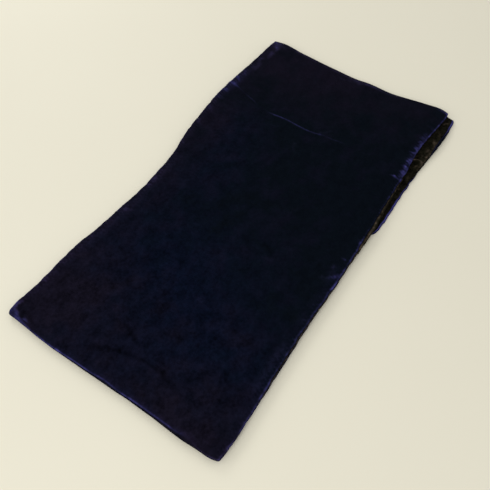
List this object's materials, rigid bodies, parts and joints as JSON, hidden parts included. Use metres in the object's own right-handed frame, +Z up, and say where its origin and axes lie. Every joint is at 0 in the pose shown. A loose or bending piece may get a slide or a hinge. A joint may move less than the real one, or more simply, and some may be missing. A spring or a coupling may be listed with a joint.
{
  "type": "snood",
  "caption": "Wide velvet snood, a lined loop scarf, laid flat in an upper and a lower stretch with a soft fold at each end and open rims along both sides.",
  "frame": {"origin": "on the table, under the middle of the box round the laid snood", "axes": "+Y along the loop from its near fold to its far fold, +X across it from the left rim to the right rim, +Z up"},
  "size_m": [0.302, 0.561, 0.0103],
  "materials": {
    "navy_velvet": "short dense pile, near black-blue face on, blue and lavender sheen where it turns away",
    "brown_velvet": "short dense pile, dark bronze-brown with warm glints"
  },
  "bodies": {
    "root": {"outer_velvet": "navy_velvet", "lining_velvet": "brown_velvet"}
  },
  "joints": []
}
